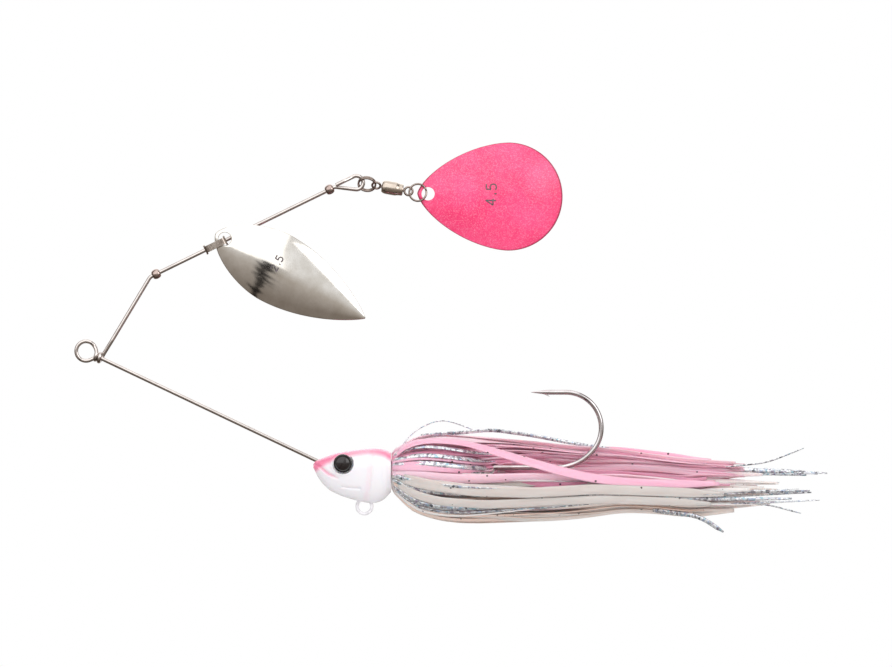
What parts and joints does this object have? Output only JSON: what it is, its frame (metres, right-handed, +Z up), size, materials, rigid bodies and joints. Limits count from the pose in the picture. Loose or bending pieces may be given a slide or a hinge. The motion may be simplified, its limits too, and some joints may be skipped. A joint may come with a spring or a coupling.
{
  "type": "spinnerbait",
  "caption": "Fishing lure: lead head and skirted hook on a bent wire frame, with a willow blade on a clevis and a Colorado blade on a ball bearing swivel.",
  "frame": {"origin": "centre of the line tie's eye", "axes": "+X from the line tie towards the tail, +Z up towards the hook point, the wire frame lies in the XZ plane"},
  "size_m": [0.1677, 0.019, 0.0841],
  "materials": {
    "stainless_wire": "drawn stainless spring wire, bright",
    "nickel_bead": "hollow brass bead, nickel plated",
    "nickel_strip": "brass strip, nickel plated",
    "nickel_blade": "stamped brass, nickel plated and polished",
    "ring_steel": "stainless spring wire",
    "nickel_pin": "stainless wire",
    "nickel_barrel": "brass, nickel plated, polished",
    "ball_steel": "hardened bearing balls",
    "pink_blade": "stamped brass, hot pink baked lacquer, satin",
    "painted_lead": "cast lead, pearl white powder paint with pink back, clear coat",
    "eye_gloss": "black moulded eye, glossy",
    "painted_wire": "steel wire, pearl white paint",
    "hook_steel": "high carbon steel, bright tin finish",
    "band_rubber": "moulded rubber band",
    "pink_silicone": "cut silicone sheet, translucent pink with black flecks",
    "pearl_silicone": "cut silicone sheet, translucent pearl grey with silver flecks",
    "peach_silicone": "cut silicone sheet, translucent peach",
    "flash_film": "cut silicone sheet with holographic silver flake"
  },
  "bodies": {
    "frame": {"wire_frame": "stainless_wire", "head": "painted_lead", "eye_left": "eye_gloss", "eye_right": "eye_gloss", "belly_eyelet": "painted_wire", "hook": "hook_steel", "skirt_band": "band_rubber", "skirt_upper_left": "pink_silicone", "skirt_upper_right": "pink_silicone", "skirt_side_left": "pink_silicone", "skirt_side_right": "pink_silicone", "skirt_lower_left": "pearl_silicone", "skirt_lower_right": "pearl_silicone", "skirt_bottom": "peach_silicone", "skirt_flash_tail": "flash_film"},
    "bead_lower": {"bead_lower": "nickel_bead"},
    "bead_upper": {"bead_upper": "nickel_bead"},
    "clevis": {"clevis": "nickel_strip"},
    "willow": {"willow_blade": "nickel_blade"},
    "ring_front": {"ring_front": "ring_steel"},
    "swivel_front_pin": {"swivel_pin_front": "nickel_pin"},
    "swivel_barrel": {"swivel_barrel": "nickel_barrel", "swivel_balls_front": "ball_steel", "swivel_balls_rear": "ball_steel"},
    "swivel_rear_pin": {"swivel_pin_rear": "nickel_pin"},
    "ring_rear": {"ring_rear": "ring_steel"},
    "colorado": {"colorado_blade": "pink_blade"}
  },
  "joints": [
    {"name": "bead_lower_slide", "type": "slide", "parent": "frame", "child": "bead_lower", "axis": [0.8988, 0, 0.4384], "range_m": [0, 0.0108]},
    {"name": "bead_upper_slide", "type": "slide", "parent": "frame", "child": "bead_upper", "axis": [0.8988, 0, 0.4384], "range_m": [-0.0242, 0]},
    {"name": "clevis_spin", "type": "hinge", "parent": "frame", "child": "clevis", "pos_m": [0.02849, 0, 0.02331], "axis": [0.8988, 0, 0.4384], "continuous": true},
    {"name": "willow_swing", "type": "hinge", "parent": "clevis", "child": "willow", "pos_m": [0.03065, 0, 0.02437], "axis": [0, -1, 0], "range_deg": [-44, 150]},
    {"name": "ring_front_swing", "type": "hinge", "parent": "frame", "child": "ring_front", "pos_m": [0.05949, 0, 0.03704], "axis": [0, -1, 0], "range_deg": [-30, 75]},
    {"name": "swivel_front_tilt", "type": "hinge", "parent": "ring_front", "child": "swivel_front_pin", "pos_m": [0.06367, 0, 0.03645], "axis": [-0.0931, -0.7431, -0.6626], "range_deg": [-40, 40]},
    {"name": "barrel_spin", "type": "hinge", "parent": "swivel_front_pin", "child": "swivel_barrel", "pos_m": [0.06741, 0, 0.0358], "axis": [0.9848, 0, -0.1736], "continuous": true},
    {"name": "rear_pin_spin", "type": "hinge", "parent": "swivel_barrel", "child": "swivel_rear_pin", "pos_m": [0.07095, 0, 0.03517], "axis": [0.9848, 0, -0.1736], "continuous": true},
    {"name": "ring_rear_swing", "type": "hinge", "parent": "swivel_rear_pin", "child": "ring_rear", "pos_m": [0.07115, 0, 0.03514], "axis": [0, -1, 0], "range_deg": [-40, 40]},
    {"name": "colorado_swing", "type": "hinge", "parent": "ring_rear", "child": "colorado", "pos_m": [0.07486, 0, 0.03461], "axis": [0, -1, 0], "range_deg": [-30, 50]}
  ]
}
